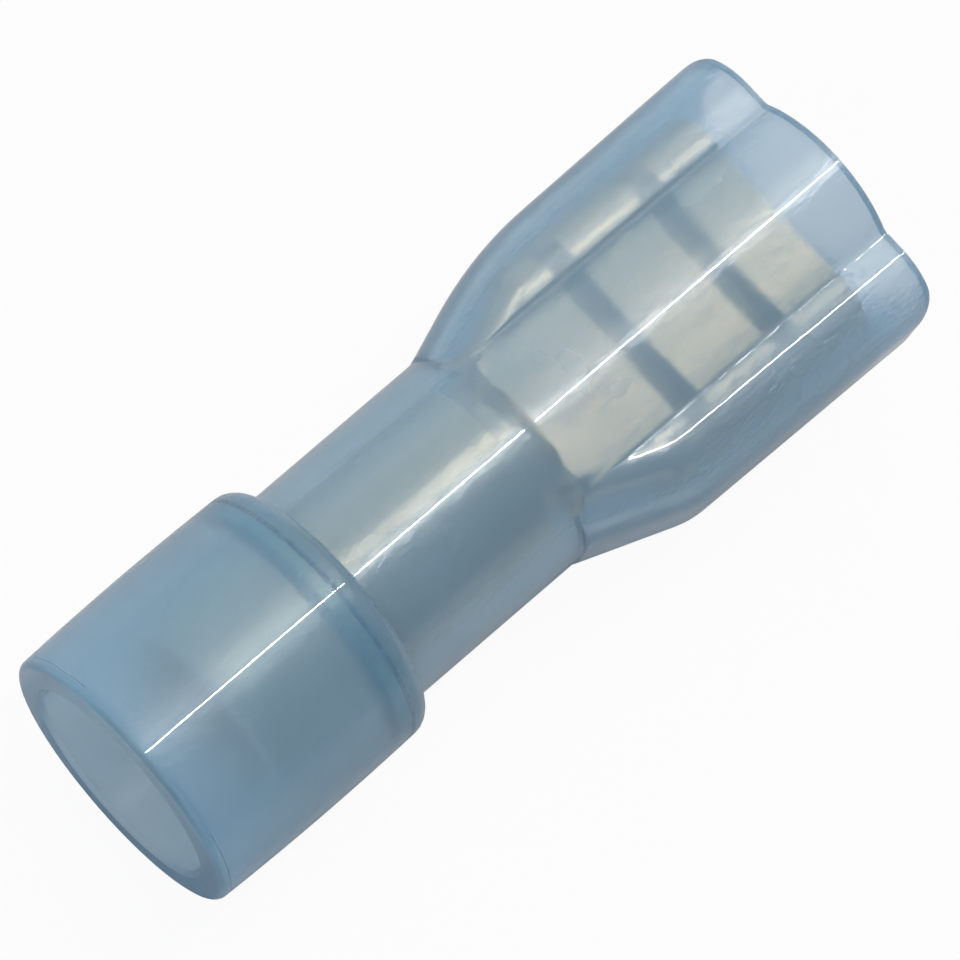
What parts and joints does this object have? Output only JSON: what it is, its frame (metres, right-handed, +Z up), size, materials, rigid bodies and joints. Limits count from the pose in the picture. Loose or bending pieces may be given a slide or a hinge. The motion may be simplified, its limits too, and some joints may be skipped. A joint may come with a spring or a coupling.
{
  "type": "spade terminal",
  "caption": "Fully insulated female push-on terminal with a translucent moulded housing, a crimp barrel and a flat tab receptacle.",
  "frame": {"origin": "on the surface the part lies on, midway along its length, below the middle of its width", "axes": "+X along the terminal's axis from the wire mouth to the tab mouth, +Y across the flat of the head, +Z up, towards the receptacle's floor"},
  "size_m": [0.0198, 0.0074, 0.0063],
  "materials": {
    "nylon": "smooth, translucent light blue",
    "tinned_copper": "satin tin plate over copper",
    "tinned_brass": "satin tin plate over brass"
  },
  "bodies": {
    "root": {"housing": "nylon", "grip_sleeve": "tinned_copper", "terminal": "tinned_brass"}
  },
  "joints": []
}
